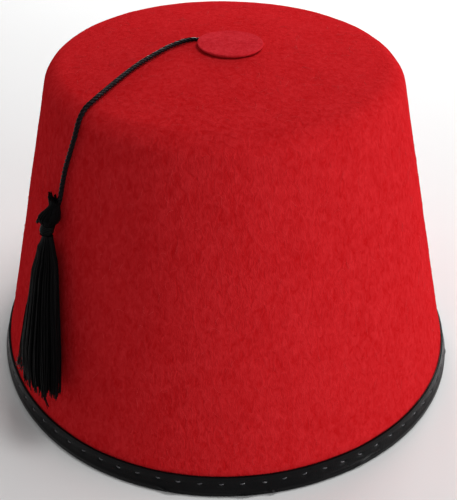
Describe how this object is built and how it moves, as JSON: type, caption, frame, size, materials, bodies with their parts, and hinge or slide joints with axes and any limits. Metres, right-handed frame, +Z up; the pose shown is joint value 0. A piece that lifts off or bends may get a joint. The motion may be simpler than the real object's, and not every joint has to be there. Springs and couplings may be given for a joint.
{
  "type": "fez hat",
  "caption": "Tapered felt fez with a bound rim, a felt button on top, and a twisted cord that ends in a tassel.",
  "frame": {"origin": "middle of the rim's foot, on the surface that the fez stands on", "axes": "+Z up out of the crown, -Y the front that the picture shows, so that the tassel hangs at the front left (-X, -Y)"},
  "size_m": [0.1914, 0.193, 0.1321],
  "materials": {
    "red_felt": "matte wool felt, pressed, with a short fibrous nap",
    "black_tape": "semi-gloss grained tape with a line of stitching",
    "black_cord": "twisted rayon cord with a soft sheen",
    "black_rayon": "loose rayon threads with a soft sheen"
  },
  "bodies": {
    "root": {"crown": "red_felt", "crown_button": "red_felt", "rim_binding": "black_tape", "tassel_cord": "black_cord", "tassel": "black_rayon", "tassel_wrap": "black_cord"}
  },
  "joints": []
}
